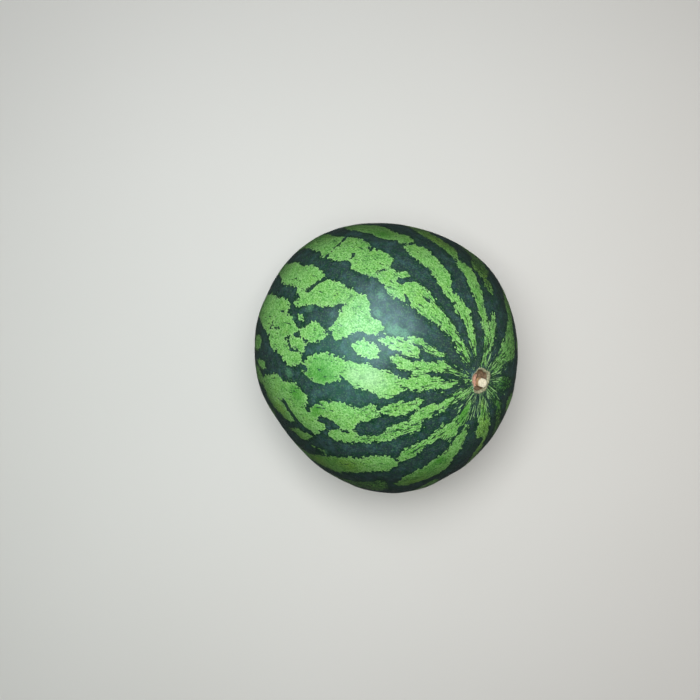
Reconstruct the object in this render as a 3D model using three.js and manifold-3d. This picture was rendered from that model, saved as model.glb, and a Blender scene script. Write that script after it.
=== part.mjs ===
// A round striped watermelon lying on its side, with the stub of its stem still in the scar.
// Millimetres, +Z up. The origin is the middle of the small flat spot that the fruit rests on,
// and the stem end points along +X and up.
import * as THREE from 'three';
import { mergeVertices } from 'three/addons/utils/BufferGeometryUtils.js';
import Module from 'manifold-3d';

const manifold = await Module();
manifold.setup();

// The fruit as grown
const MEAN_RADIUS = 132.5;
const STEM_TILT = THREE.MathUtils.degToRad(50); // of the stem axis, above the horizontal
const RESTING_SPOT = 50; // across

// Out of round seen from above: each swell repeats this many times round the fruit,
// stands this high, and has a crest this many degrees from +X
const SWELLS = [
  { folds: 2, height: 2.9, crest: -42 },
  { folds: 3, height: 2.4, crest: 52 },
  { folds: 4, height: 0.6, crest: 39 },
  { folds: 5, height: 1.1, crest: -8 },
];
const RIBS = { count: 10, height: 0.35 }; // soft lobes from end to end

// Stem end: a shallow basin, then a corky rim round a sunken scar
const STEM_BASIN = { depth: 2.2, reach: 30 };
const SCAR = { rim: 11, rimWidth: 1.4, rimHeight: 1, cup: 9.4, wall: 1, depth: 3.2 };

// Blossom end: a shallow dimple with a small corky button
const BLOSSOM_DIMPLE = { depth: 2.4, reach: 20 };
const BLOSSOM_BUTTON = { radius: 3.6, height: 1.4 };

// What is left of the stem, off the middle of its scar
const STUB = {
  foot: 4.6,
  neck: 3.9,
  length: 8.2,
  dome: 0.9,
  sunk: 2.2,
  downhill: 2.4,
  aside: -1.4,
};
const GAP = 0.3; // between the stub and the fruit

// Fineness of the two meshes
const SECTORS = 72;
const STUB_SECTORS = 24;
const SCAR_ROW = 1.4; // between rows of the mesh at the scar
const BUTTON_ROW = 2.6; // between rows at the blossom end
const WIDE_ROW = 11.5; // between rows round the middle
const ROW_GROWTH = 1.3;

const CENTRE_HEIGHT = Math.sqrt(MEAN_RADIUS ** 2 - (RESTING_SPOT / 2) ** 2);
const stemAxis = new THREE.Vector3(Math.cos(STEM_TILT), 0, Math.sin(STEM_TILT));
const uphill = new THREE.Vector3(-Math.sin(STEM_TILT), 0, Math.cos(STEM_TILT));
const sideways = new THREE.Vector3(0, 1, 0);

/** 0 below `from`, 1 above `to`, and smooth between them. */
function ease(value, from, to) {
  return THREE.MathUtils.smoothstep(value, from, to);
}

/** A bell of height 1 at 0 that has faded out at about twice `reach`. */
function bell(distance, reach) {
  return Math.exp(-((distance / reach) ** 2));
}

/** How much the fruit stands out of round in this direction, seen from above. */
function swell(direction) {
  const azimuth = Math.atan2(direction.y, direction.x);
  const level = Math.hypot(direction.x, direction.y); // 0 straight up or down
  let height = 0;
  for (const { folds, height: crestHeight, crest } of SWELLS) {
    const turn = folds * (azimuth - THREE.MathUtils.degToRad(crest));
    height += crestHeight * level ** folds * Math.cos(turn);
  }
  return height;
}

/** The soft ribs, highest round the middle and gone at both ends. */
function ribs(direction) {
  const along = direction.dot(stemAxis);
  const longitude = Math.atan2(direction.dot(sideways), direction.dot(uphill));
  return RIBS.height * (1 - along ** 2) * Math.cos(RIBS.count * longitude);
}

/** Basin, corky rim and sunken scar, from the distance along the rind to the stem axis. */
function stemEnd(distance) {
  const basin = -STEM_BASIN.depth * bell(distance, STEM_BASIN.reach);
  const rim = SCAR.rimHeight * bell(distance - SCAR.rim, SCAR.rimWidth);
  const cup = -SCAR.depth * (1 - ease(distance, SCAR.cup - SCAR.wall, SCAR.cup + SCAR.wall));
  return basin + rim + cup;
}

/** Dimple and button, from the distance along the rind to the blossom end. */
function blossomEnd(distance) {
  const dimple = -BLOSSOM_DIMPLE.depth * bell(distance, BLOSSOM_DIMPLE.reach);
  return dimple + BLOSSOM_BUTTON.height * bell(distance, BLOSSOM_BUTTON.radius);
}

/** Distance from the fruit's middle to its skin in a direction. */
function skinRadius(direction) {
  const fromStem = Math.acos(THREE.MathUtils.clamp(direction.dot(stemAxis), -1, 1));
  const ends = stemEnd(MEAN_RADIUS * fromStem) + blossomEnd(MEAN_RADIUS * (Math.PI - fromStem));
  return MEAN_RADIUS + swell(direction) + ribs(direction) + ends;
}

/** Angles from one end to the rows of the mesh, which are close together as far as `fineReach`. */
function rowsFromEnd(fineRow, fineReach) {
  const quarter = (Math.PI / 2) * MEAN_RADIUS;
  const rows = [];
  let step = fineRow;
  for (let distance = 0; distance < quarter - step / 2; distance += step) {
    rows.push(distance / MEAN_RADIUS);
    if (distance > fineReach) step = Math.min(step * ROW_GROWTH, WIDE_ROW);
  }
  return rows;
}

/** A ball of rows and sectors round the stem axis, finest where the scars are. */
function lyingBall() {
  const blossomRows = rowsFromEnd(BUTTON_ROW, BLOSSOM_BUTTON.radius);
  const stemRows = rowsFromEnd(SCAR_ROW, SCAR.rim + SCAR.rimWidth).map((a) => Math.PI - a);
  const angles = [...blossomRows, Math.PI / 2, ...stemRows.reverse()];
  const profile = angles.map((a) => new THREE.Vector2(Math.sin(a), -Math.cos(a)));
  profile[0].x = 0;
  profile[profile.length - 1].x = 0;
  const ball = new THREE.LatheGeometry(profile, SECTORS);
  return ball.rotateX(Math.PI / 2).rotateY(Math.PI / 2 - STEM_TILT);
}

/** Keeps only the places of the vertices and merges those that are shared. */
function welded(geometry) {
  geometry.deleteAttribute('normal');
  geometry.deleteAttribute('uv');
  return mergeVertices(geometry, 1e-4);
}

function toSolid(geometry) {
  const closed = welded(geometry);
  return new manifold.Manifold(
    new manifold.Mesh({
      numProp: 3,
      vertProperties: new Float32Array(closed.attributes.position.array),
      triVerts: new Uint32Array(closed.index.array),
    }),
  );
}

function toGeometry(solid) {
  const { vertProperties, triVerts } = solid.getMesh();
  const geometry = new THREE.BufferGeometry();
  geometry.setAttribute('position', new THREE.BufferAttribute(vertProperties, 3));
  geometry.setIndex(new THREE.BufferAttribute(triVerts, 1));
  geometry.computeVertexNormals();
  return geometry;
}

/** The skin pushed out to its radius in every direction, with the fruit's middle at its height. */
function grownSkin() {
  const skin = welded(lyingBall());
  const place = skin.attributes.position;
  const point = new THREE.Vector3();
  for (let i = 0; i < place.count; i += 1) {
    point.fromBufferAttribute(place, i).normalize();
    point.multiplyScalar(skinRadius(point));
    place.setXYZ(i, point.x, point.y, point.z + CENTRE_HEIGHT);
  }
  return skin;
}

/** Everything below the resting plane. */
function ground() {
  const size = 2 * MEAN_RADIUS;
  return new THREE.BoxGeometry(size, size, size).translate(0, 0, -size / 2);
}

/** Turns a shape that stands on +Y so that it stands on the scar's floor, where the stub grows. */
function ontoScar(geometry) {
  const floor = MEAN_RADIUS - STEM_BASIN.depth - SCAR.depth;
  const foot = new THREE.Vector3(0, 0, CENTRE_HEIGHT)
    .addScaledVector(stemAxis, floor)
    .addScaledVector(uphill, -STUB.downhill)
    .addScaledVector(sideways, STUB.aside);
  return geometry
    .rotateX(Math.PI / 2)
    .rotateY(Math.PI / 2 - STEM_TILT)
    .translate(foot.x, foot.y, foot.z);
}

/** Half outline of a round post, from its bottom on the axis to its top on the axis. */
function postProfile(bottomRadius, topRadius, bottom, top, dome) {
  const outline = [new THREE.Vector2(0, bottom), new THREE.Vector2(bottomRadius, bottom)];
  outline.push(new THREE.Vector2(bottomRadius, 0));
  const waist = new THREE.Vector2((bottomRadius + topRadius) / 2 - 0.4, (top - dome) / 2);
  const edge = new THREE.Vector2(topRadius, top - dome);
  const side = new THREE.QuadraticBezierCurve(outline[2], waist, edge);
  outline.push(...side.getPoints(4).slice(1));
  const crown = new THREE.QuadraticBezierCurve(
    edge,
    new THREE.Vector2(topRadius * 0.8, top),
    new THREE.Vector2(0, top),
  );
  outline.push(...crown.getPoints(3).slice(1));
  return outline;
}

function stubSocket() {
  const radius = STUB.foot + GAP;
  const depth = STUB.sunk + GAP;
  const socket = new THREE.CylinderGeometry(radius, radius, 2 * depth, STUB_SECTORS);
  return ontoScar(socket);
}

function fruit() {
  const solid = toSolid(grownSkin()).subtract(toSolid(ground())).subtract(toSolid(stubSocket()));
  const rind = new THREE.MeshStandardMaterial({ color: 0x2c5433, roughness: 0.38, metalness: 0 });
  const mesh = new THREE.Mesh(toGeometry(solid), rind);
  mesh.name = 'fruit';
  return mesh;
}

function stemStub() {
  const top = STUB.length - STUB.sunk;
  const outline = postProfile(STUB.foot, STUB.neck, -STUB.sunk, top, STUB.dome);
  const cork = new THREE.MeshStandardMaterial({ color: 0xd8cba4, roughness: 0.85, metalness: 0 });
  const mesh = new THREE.Mesh(ontoScar(new THREE.LatheGeometry(outline, STUB_SECTORS)), cork);
  mesh.name = 'stem_stub';
  return mesh;
}

const watermelon = new THREE.Group();
watermelon.add(fruit(), stemStub());

export default watermelon;
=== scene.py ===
"""A round striped watermelon lying on its side, with the stub of its stem in the scar.

A Blender add-on that is run as a script. Metres, +Z up. The origin is the middle of the flat spot
that the fruit rests on, and the stem end points along +X and up. A place on the rind is given by its
distance along the rind from the stem axis, in millimetres, and its longitude round that axis, in
degrees: 0 on the side that faces up, and growing towards +Y.
"""
import math

import bpy
import numpy as np
from bpy.props import FloatProperty, FloatVectorProperty, IntProperty, PointerProperty
from mathutils import Matrix, Vector


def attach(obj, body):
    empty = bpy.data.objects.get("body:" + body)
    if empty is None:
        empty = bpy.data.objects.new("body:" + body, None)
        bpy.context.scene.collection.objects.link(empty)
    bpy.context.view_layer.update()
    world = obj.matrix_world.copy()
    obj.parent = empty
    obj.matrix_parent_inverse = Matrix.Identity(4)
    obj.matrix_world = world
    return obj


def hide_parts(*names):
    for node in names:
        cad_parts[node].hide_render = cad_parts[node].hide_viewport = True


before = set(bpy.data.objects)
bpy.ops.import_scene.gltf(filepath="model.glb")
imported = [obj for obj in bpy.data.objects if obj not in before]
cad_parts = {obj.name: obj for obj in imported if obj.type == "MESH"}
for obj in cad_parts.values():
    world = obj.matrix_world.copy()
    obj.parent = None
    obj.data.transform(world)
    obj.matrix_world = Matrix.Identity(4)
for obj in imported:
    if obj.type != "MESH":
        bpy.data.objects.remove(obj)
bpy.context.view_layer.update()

bl_info = {
    "name": "Striped watermelon",
    "version": (1, 0, 0),
    "blender": (4, 5, 0),
    "location": "View3D > Sidebar > Watermelon",
    "description": "A round striped watermelon lying on its side, with its stem's stub",
    "category": "Add Mesh",
}

MM = 0.001

# The fruit's departures from round seen from above: folds, height in mm, crest in degrees from +X
SWELLS = ((2, 2.9, -42), (3, 2.4, 52), (4, 0.6, 39), (5, 1.1, -8))

# Light patches of the rind by name. Each has how much it is broken up by dark specks (0 is hardly, 1
# very much), and its two edges at some distances from the stem: (distance, longitude of one edge, of
# the other).
LIGHT_PATCHES = {
    "upper band": (0.35, (
        (25, 20, 36), (31, 21, 37.5), (34, 27, 38), (43, 27.5, 38.5), (53, 29.5, 40), (63, 28.5, 40.2),
        (68, 28, 39.8), (72, 26.2, 40), (82, 25, 40.5), (93, 26.2, 41.5), (103, 24.6, 40.3),
        (109, 24.6, 40), (120, 25, 40.5), (126, 27, 37), (132, 27.8, 36.3), (137, 27, 41),
        (145, 26.2, 41.5), (158, 26, 41), (163, 28, 41.4), (172, 28, 42), (180, 26.3, 42),
        (189, 27.5, 41.2), (198, 26, 39.8), (204, 28.5, 39.5), (214, 29, 39.8), (226, 30.3, 41),
        (240, 31, 42), (256, 30.5, 43), (270, 31, 42), (280, 33, 40))),
    "upper right band": (0.1, (
        (27, 49.5, 58), (38, 49.5, 61), (50, 51, 61.5), (55, 52.3, 61.5), (62, 49, 63.5), (67, 50, 62.5),
        (74, 50.2, 59.5), (82, 49.3, 57.3), (87, 49.3, 57), (92, 49, 59.8), (101, 50.5, 61.7),
        (112, 51.2, 61.5), (124, 49.8, 61), (131, 49.2, 61.3), (139, 50.5, 59), (144, 51.5, 57),
        (150, 51.5, 59.3), (158, 51.6, 59.7), (163, 48.3, 58), (174, 47, 57), (186, 47.3, 57.5),
        (196, 46.5, 58), (207, 46, 56), (216, 47, 55.5), (226, 48.5, 54), (234, 50, 52.5))),
    "right band": (0.15, (
        (16, 72, 92), (21, 76, 93), (31, 77.5, 90), (38, 77.5, 92), (44, 75.5, 90), (49, 75.5, 86),
        (56, 73.5, 83.7), (64, 72.3, 83.3), (76, 72.3, 83), (88, 71, 82), (92, 72.3, 81.7),
        (101, 71, 81.6), (107, 69.8, 81), (112, 71, 77), (116, 72.5, 75))),
    "right band, lower": (0.65, (
        (119, 70.5, 75), (126, 69.8, 77), (134, 69.3, 78), (142, 68.5, 77), (152, 67, 75.5),
        (162, 66.5, 74), (174, 68, 76), (186, 69.5, 77), (200, 70, 77.5), (214, 71, 77), (222, 73, 76))),
    "right spur": (0.4, (
        (35, 89, 97), (40, 86, 98), (46, 87, 98.5), (54, 88, 98), (60, 89.5, 97), (66, 92.5, 95.5))),
    "right blotch": (1.1, (
        (85, 92, 95), (90, 87.5, 97), (97, 88, 97), (103, 86, 93), (109, 83.2, 96), (114, 82.3, 97),
        (119, 85, 99), (127, 88, 99), (136, 89, 100), (148, 88, 99), (160, 89, 97), (168, 91, 95))),
    "far right band": (0.7, (
        (19, 120, 148), (26, 121, 147), (33, 122, 146), (37, 119, 144), (42, 116, 144.5),
        (52, 116.3, 147), (62, 116, 147), (70, 116.3, 141), (77, 116.5, 128), (84, 112.5, 125),
        (94, 112, 123.5), (106, 111, 122), (118, 112.5, 122), (130, 112, 123.5))),
    "under the stem, right": (1.25, (
        (20, 161, 184), (26, 160, 186), (33, 161, 184), (41, 162, 181), (48, 163, 176), (57, 166, 172))),
    "under the stem, left": (1.15, (
        (16, -176, -160), (24, -170, -156), (30, -167, -152.5), (38, -165.5, -153.5), (46, -166, -153),
        (54, -163, -151.5), (62, -160, -150), (70, -158, -148), (80, -159, -147), (92, -160, -148))),
    "lower right patch": (0.4, (
        (20, -131, -117.5), (27, -133.5, -118.5), (33, -137, -119.3), (40, -139.5, -117),
        (48, -141, -117.5), (55, -140.5, -120), (59, -139.5, -121.5), (64, -138.5, -131),
        (70, -137, -131.5), (78, -136, -129), (88, -137, -127.5), (100, -137, -128))),
    "lower spur": (0.3, (
        (45, -103.5, -96), (50, -105, -94.5), (58, -106.5, -92.8), (68, -107, -91.8), (73, -106, -91.5),
        (78, -104, -90.8), (83, -106.8, -90.2), (90, -107.5, -88.5), (97, -106, -87.3),
        (106, -103, -85.5), (115, -99, -85.2), (123, -96, -86.5), (130, -94, -88))),
    "lower band, at the stem": (0.25, (
        (22, -84, -74), (28, -93, -72.8), (33, -96, -73.5), (39, -92.5, -74), (45, -90.5, -72.8),
        (51, -92.5, -70), (56, -91, -68.7), (60, -88, -68.5))),
    "lower band": (0.5, (
        (55, -78, -68.6), (62, -76.8, -68.3), (67, -77, -67.7), (72, -75.3, -67), (76, -74, -66.3),
        (84, -75, -66), (90, -75.3, -65.3), (95, -75.2, -67), (100, -75, -69), (104, -74.2, -68))),
    "lower band, middle": (0.1, (
        (103, -73, -68.5), (109, -75, -64.3), (116, -75.8, -62.9), (127, -73.3, -61.7),
        (134, -72.6, -62.3), (141, -71.7, -61), (155, -71.5, -60.3), (168, -71.6, -60.4),
        (182, -71, -61.5), (194, -70.5, -62.5), (208, -69, -62.5), (222, -68, -61),
        (236, -67.5, -59.5), (248, -66, -60))),
    "near left band": (0.15, (
        (15, -54, -45), (19, -60, -39), (25, -59.5, -36.5), (30, -57.5, -36), (34, -55.5, -40.5),
        (41, -56.3, -41.5), (48, -55.6, -41.8), (54, -54, -40.8), (62, -52.5, -39.8), (67, -53, -41.7),
        (71, -50, -43), (74, -47, -44))),
    "near left, speckled": (0.65, (
        (68, -58.5, -49), (73, -59.3, -46.8), (80, -57.8, -46.2), (86, -57, -46.6), (91, -56.5, -47.3),
        (96, -56.2, -49.8), (104, -55.5, -50.6), (112, -55, -49.5), (119, -54.5, -49),
        (125, -54, -47.8))),
    "near left, end": (0.15, (
        (123, -53.5, -46), (130, -53, -45.4), (137, -52.5, -45), (144, -51.4, -44.8),
        (148, -50.2, -45.4), (151, -49, -47))),
    "left band, speckled": (0.5, (
        (61, -37, -33.3), (66, -41, -32.9), (72, -42, -33), (81, -42.6, -32.7), (87, -42, -33.5),
        (93, -40.3, -33.6), (97, -39.5, -34.3), (102, -41, -32.8), (109, -43, -33.2),
        (114, -41.8, -34.3), (119, -41.5, -34))),
    "left band": (0.2, (
        (117, -42, -34.3), (122, -44.5, -32.8), (128, -46, -31.7), (134, -45.6, -31.1),
        (137.5, -43, -31), (142, -39.9, -31), (149, -38.9, -31.4), (156, -39.8, -32.8),
        (161, -40.5, -34.5), (166, -42, -37), (170, -43, -38))),
    "left lobe": (0.2, (
        (152, -45, -42.8), (157, -46.8, -41.3), (163, -47.4, -39), (168, -47.7, -37),
        (172, -46.8, -27.3), (177, -45.8, -25.6), (182, -44.3, -25), (187, -41.4, -25.1),
        (191, -39.4, -26.4), (195, -35.6, -25.6), (204, -34.9, -24.1), (211, -35.2, -24.2),
        (218, -36.5, -25.2), (226, -38, -25.8), (232, -35, -27.6), (238, -33, -29.5))),
    "left lobe, crown": (0.1, ((167, -34, -29.5), (170, -36, -28), (174, -36.5, -26.5))),
    "left lobe, lower": (0.15, (
        (191, -44, -41.8), (195, -45, -40), (200, -45.2, -35.8), (206, -44.9, -34.5), (213, -43, -34.5),
        (221, -41.2, -35), (228, -39, -35), (233, -37, -34))),
    "bottom rim, flecked": (1.1, (
        (136, -86, -80), (146, -92, -80), (158, -93, -79), (172, -90, -78), (190, -86, -76),
        (210, -84, -76))),
    "faint streak a": (0.6, ((163, -58.6, -57.6), (172, -57.6, -56.4), (182, -56.2, -55.2))),
    "faint streak b": (0.7, ((160, -61.4, -60.6), (168, -60.8, -59.6), (176, -59.6, -58.8))),
    "left rim patch": (0.2, (
        (171, -50.4, -49.5), (177, -51.7, -48.5), (184, -52.8, -47.9), (190, -53.6, -47.5),
        (196, -52.9, -48), (203, -51.4, -49), (215, -50.6, -49.8))),
    "far left, a": (0.2, ((236, -30, -28.5), (244, -31.5, -26), (254, -31, -25.5), (264, -29.5, -26))),
    "far left, b": (0.2, ((226, -23.5, -21.5), (233, -25, -20.6), (241, -24.5, -20.8), (248, -23, -21.8))),
    "far left, c": (0.2, ((240, -15.5, -13), (246, -17.3, -11.2), (256, -18, -11), (268, -17, -11.5))),
    "middle band, at the stem": (0.2, (
        (28, -23.5, -18), (32, -26, -15.5), (37, -28, -14.5), (43, -28.5, -13.7), (48, -27.8, -12.2),
        (54, -26, -10.5), (62, -26.2, -10.4), (68, -26.6, -11), (71, -25.6, -15.8), (75, -23.9, -16.9),
        (80, -23, -17))),
    "middle band": (0.05, (
        (78, -26, -17), (81, -28.5, -16), (86, -29.6, -14.1), (94, -29.9, -13.2), (99, -29, -12.9),
        (103, -26.6, -12.4), (109, -25.5, -11.4), (115, -24.7, -11.9), (122, -23.2, -11.4),
        (127.5, -20.3, -11.2), (131, -21.7, -10.9), (138, -22.8, -10.8), (147, -24.2, -10.5),
        (152, -24, -10.8), (158, -23, -12.8), (162, -22.6, -13.8))),
    "middle band, tip a": (0.05, ((158, -23, -18.9), (165, -22.2, -19), (170, -21, -19.6))),
    "middle band, tip b": (0.05, ((158, -18.8, -12.8), (163, -18.6, -14), (167, -17.5, -15.3))),
    "inner band": (0.3, (
        (18, -9, 0), (24, -8, 2), (30, -5.8, 2.6), (36, -6.5, 3.1), (41, -9.3, 3.7), (47, -10.9, 4.1),
        (52, -10.7, 3), (56, -10.3, 0), (60, -11, -2), (66, -13.8, -2.8), (72, -12.9, -3),
        (78, -12.4, -3), (84, -10.4, -3), (89, -8, -4.4))),
    "pale start": (0.0, ((14, -22, -12), (17, -21, -11), (20, -18, -13))),
    "inner tongue": (0.45, (
        (49, 6.5, 11.5), (54, 5.4, 12.3), (62, 5.6, 12), (70, 6.6, 12), (77, 7.5, 12), (83, 8.5, 11.5))),
    "inner patch": (0.05, (
        (68, -1, 4.5), (73, -2.3, 5.5), (80, -2.4, 7), (86, -1.7, 7.2), (92, -1.3, 6.4), (98, -0.3, 5),
        (104, 1, 3.3))),
    "island": (0.0, (
        (100.5, -7, -3.5), (104, -8.6, -1.8), (110, -9.5, -0.6), (116, -9, -0.4), (120, -7.4, -1.6),
        (125, -5.6, -4))),
    "top patch": (0.0, (
        (104.5, 5.8, 9.3), (108, 3.4, 10.4), (114, 2.2, 10.9), (120, 1.8, 12), (124, 1.3, 15.5),
        (127, -0.2, 17.1), (132, -2.4, 17.8), (138, -4.2, 18.2), (142, -4.1, 18.3), (144.5, -3.3, 18.4))),
    "top patch, left foot": (0.0, ((140, -4.2, 5), (145, -3.2, 1.5), (149.5, -1.4, -0.4))),
    "top patch, right leg": (0.05, (
        (141, 9, 18.3), (146, 11, 18.5), (150, 9.6, 18.8), (156, 8, 19), (163, 7, 18.8), (169, 6.2, 18.9),
        (174, 6.1, 18), (179, 5.3, 14.5), (183, 4.6, 11.6), (189, 3.4, 10.8), (192, 4.2, 11))),
    "top patch, toe a": (0.0, ((188, 3.6, 7.6), (192, 4.1, 7.5), (195.5, 5.2, 6.9))),
    "top patch, toe b": (0.0, ((188, 7.3, 11), (193, 7.8, 11.4), (197, 8.8, 11))),
    "small island": (0.05, (
        (148, -4, -2), (152, -6, -1.1), (157, -7.3, -0.6), (162, -8.1, 0.6), (167, -7.8, 0.8),
        (172, -7.5, -2.7), (176, -5.7, -4.2))),
    "dot": (0.3, ((178, -0.5, 1.2), (180.5, -0.8, 1.8), (183, 0, 1.4))),
    "far lobe a": (0.05, (
        (170, -16.5, -13.5), (174, -18.6, -12.9), (179, -19.1, -12.9), (184, -19.3, -12.3),
        (189, -19, -10.8), (195, -17.7, -9.3), (200, -15.9, -8.9), (205, -14.3, -8))),
    "far lobe b": (0.1, (
        (169.5, -11.8, -8.6), (173, -12.6, -7.7), (179, -12.5, -7.1), (185, -11.5, -6.9),
        (189, -9.8, -7.8))),
    "far lobe c": (0.0, (
        (180, -5.2, -3.2), (184, -7, -2.2), (189, -8.3, -1.6), (194, -9, 0.1), (200, -9.6, 0.5),
        (205, -12, 0.5))),
    "far lobe d": (0.0, (
        (202, -9, 4.8), (206, -14.5, 6), (210, -15.4, 6.3), (215, -13.7, 6.3), (220, -10.6, 6.3),
        (226, -9.4, 6.2), (234, -8, 6.6), (244, -6, 7.4), (256, -4.5, 7), (268, -4, 6), (280, -3, 5))),
    "far lobe e": (0.0, ((200, 1.5, 4.5), (204, 0.2, 5.9), (209, 0, 6.2))),
    "left end band": (0.05, (
        (179, 17, 19.8), (183, 15, 21), (188, 11.8, 21.7), (196, 10.7, 22), (205, 10.8, 21.9),
        (212, 11.2, 21.2), (222, 11.5, 21.9), (232, 12.8, 22.6), (242, 15, 23), (256, 17, 24),
        (268, 17.5, 25), (282, 18, 24.5), (292, 20, 23))),
}

# Thin dark creases that cut into the patches: half-width in mm, then (distance, longitude) points
CREASES = (
    (0.5, ((26, -53.5), (38, -55), (52, -54.5))),
    (0.45, ((43, -50.5), (53, -49.5))),
    (1.9, ((109, 40.5), (112, 38.5), (114, 36.5), (115.5, 34), (118, 33.6))),
    (0.8, ((104, 29), (101, 27.8), (97, 26.6))),
    (0.9, ((91, 36), (88, 37), (85, 36.5))),
    (0.8, ((164, 39), (160, 38.2), (157, 41))),
    (0.6, ((133, 33.5), (136, 31.5), (138, 28))),
    (1.0, ((165, 27.5), (168, 29.5), (169, 33.4))),
    (0.9, ((192.2, 29), (192.2, 33), (192.7, 36.5), (195.2, 39), (198.2, 41))),
    (0.9, ((193, 26), (194, 27.5))),
    (0.8, ((140, 60.5), (142.5, 58), (146, 55.5), (148, 52.5), (146, 51.5))),
    (0.7, ((72.5, 50), (74, 53))),
    (1.3, ((175, 19.5), (179.2, 16.5), (182.2, 14), (186, 11.5))),
    (0.45, ((176, -12.9), (180, -13.2), (184, -12.4), (188, -11.3))),
    (0.5, ((188, -9), (191, -8.9), (195, -9.6))),
    (0.5, ((204, -5.5), (210, -6.3), (217, -6), (221, -7.5), (221.5, -11))),
    (0.6, ((216, -1), (219.5, -3), (221, -8))),
    (0.6, ((205, 0.2), (209, 0.9))),
    (0.7, ((70, -2.7), (78, -2.8), (86, -2.6), (92, -1.8))),
    (0.8, ((146, -2.3), (149, -1.4), (150.5, 0))),
    (0.9, ((44, -11.8), (52, -10.9), (57, -10.9))),
    (0.5, ((163.5, -19), (169, -18.9))),
    (0.8, ((128, -24), (129, -20.5), (130.5, -19.5))),
    (0.6, ((98, -29.8), (101.5, -27))),
    (0.7, ((150, -33.5), (156, -31.5))),
    (1.1, ((178, -48), (184, -44.6), (190, -41.3), (195.5, -36), (197, -34.6))),
    (0.8, ((130, -46.5), (136, -45.2))),
    (0.8, ((97, -33), (98, -38), (97, -40))),
    (0.7, ((71, -60), (76, -57.2), (83, -56.9), (90, -57.3))),
    (0.6, ((103, -75), (103.5, -70), (105, -66))),
    (0.6, ((71, -75.8), (75, -73.6))),
    (0.7, ((52, -94), (56, -92), (60, -91.6))),
)

# Blotches of the rind by the attribute that holds them: distance, longitude and radius in mm of each
BLOTCHES = {
    # greener places in the light patches
    "deeper": (
        (149, -20, 14), (165, -21, 12), (157, -36, 9), (32, -81, 9), (82, -95, 7), (174, 51, 7),
        (30, -125, 5), (178, -30, 9), (40, 174, 20), (45, -160, 16)),
    # yellower places in the light patches
    "olive": (
        (50, -130, 16), (75, -132, 16), (25, -124, 8), (209, -39, 7), (150, 73, 18), (190, 74, 18),
        (105, 92, 14), (150, 94, 14), (150, -66, 10), (190, -66, 10), (60, -158, 12), (120, -96, 8)),
    # painted sheen: whitish places in the light patches, a painted soft highlight
    "painted_sheen": ((104, -19, 13), (117, -18, 8)),
    # dim green places in the dark stripes
    "faint": (
        (114, 13.5, 4), (100, 8.8, 6), (93, 9.5, 6), (86, 9.8, 5), (121, 22, 4), (176, 5, 5), (190, -1, 4),
        (150, -62, 4), (166, -58, 4), (186, -22, 5), (118, -3, 4)),
}

# The stripes where no photograph shows them: longitude and half-width in mm of each, and the
# distances from the stem where it begins and ends
HIDDEN_STRIPES = (
    (34, 8.5, 262, 396), (13, 8, 286, 402), (-8, 8, 272, 398), (-29, 8.5, 236, 396),
    (-46, 7, 236, 398), (-64, 9, 240, 400), (-84, 7.5, 222, 396), (-109, 7.5, 112, 398),
    (-132, 8.5, 98, 400), (-154, 7.5, 92, 396), (-176, 8, 64, 400), (165, 6, 84, 398),
    (142, 7.5, 78, 396), (118, 8.5, 122, 400), (93, 7.5, 172, 397), (73, 7.5, 216, 400),
    (52, 8, 230, 396),
)
HIDDEN_SEED = 11


def from_srgb(red, green, blue):
    """Linear colour of a display colour given as 0 to 255."""
    channels = np.array((red, green, blue)) / 255
    return tuple(np.where(channels < 0.04045, channels / 12.92, ((channels + 0.055) / 1.055) ** 2.4))


def length(label, text, value):
    return FloatProperty(name=label, description=text, default=value, min=0.0, unit="LENGTH", precision=5)


def power(label, text, value):
    return FloatProperty(name=label, description=text, default=value, unit="POWER")


def colour(label, text, red, green, blue):
    value = from_srgb(red, green, blue)
    return FloatVectorProperty(
        name=label, description=text, default=value, min=0.0, max=1.0, subtype="COLOR")


class MelonForm(bpy.types.PropertyGroup):
    """Sizes of the fruit and of the stem's stub."""

    mean_radius: length("Mean radius", "Of the fruit, before its swells and ribs", 132.5 * MM)
    stem_tilt: FloatProperty(
        name="Stem tilt", description="Of the stem axis above the horizontal", default=math.radians(50),
        unit="ROTATION")
    resting_spot: length("Resting spot", "Width of the flat that the fruit rests on", 50 * MM)
    rib_count: IntProperty(
        name="Ribs", description="Soft lobes from end to end", default=10, min=0, subtype="UNSIGNED")
    rib_height: length("Rib height", "Of the soft lobes, above the mean", 0.35 * MM)
    basin_depth: length("Basin depth", "Of the shallow hollow round the stem", 2.2 * MM)
    basin_reach: length("Basin reach", "How far the hollow spreads", 30 * MM)
    scar_rim: length("Scar rim", "Radius of the crest of the corky rim", 11 * MM)
    scar_rim_width: length("Rim width", "Half the width of the corky rim", 1.4 * MM)
    scar_rim_height: length("Rim height", "Of the corky rim above the rind", 1.0 * MM)
    scar_cup: length("Scar radius", "Radius of the sunken scar", 9.4 * MM)
    scar_depth: length("Scar depth", "Of its floor below the rind", 3.2 * MM)
    dimple_depth: length("Dimple depth", "Of the hollow at the blossom end", 2.4 * MM)
    dimple_reach: length("Dimple reach", "How far that hollow spreads", 20 * MM)
    button_radius: length("Button radius", "Of the corky blossom scar", 3.6 * MM)
    button_height: length("Button height", "Of the blossom scar", 1.4 * MM)
    stub_foot: length("Stub foot", "Radius of the stub where it leaves the scar", 4.6 * MM)
    stub_neck: length("Stub neck", "Radius of the stub at its cut end", 3.9 * MM)
    stub_length: length("Stub length", "From its hidden foot to its cut end", 8.2 * MM)
    stub_dome: length("Stub dome", "How much of its length the rounded cut end takes", 0.9 * MM)
    stub_sunk: length("Stub sunk", "How much of the stub is below the scar's floor", 2.2 * MM)
    stub_downhill: length("Stub downhill", "From the scar's middle, down the slope", 2.4 * MM)
    stub_aside: length("Stub aside", "From the scar's middle, towards -Y", 1.4 * MM)


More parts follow.
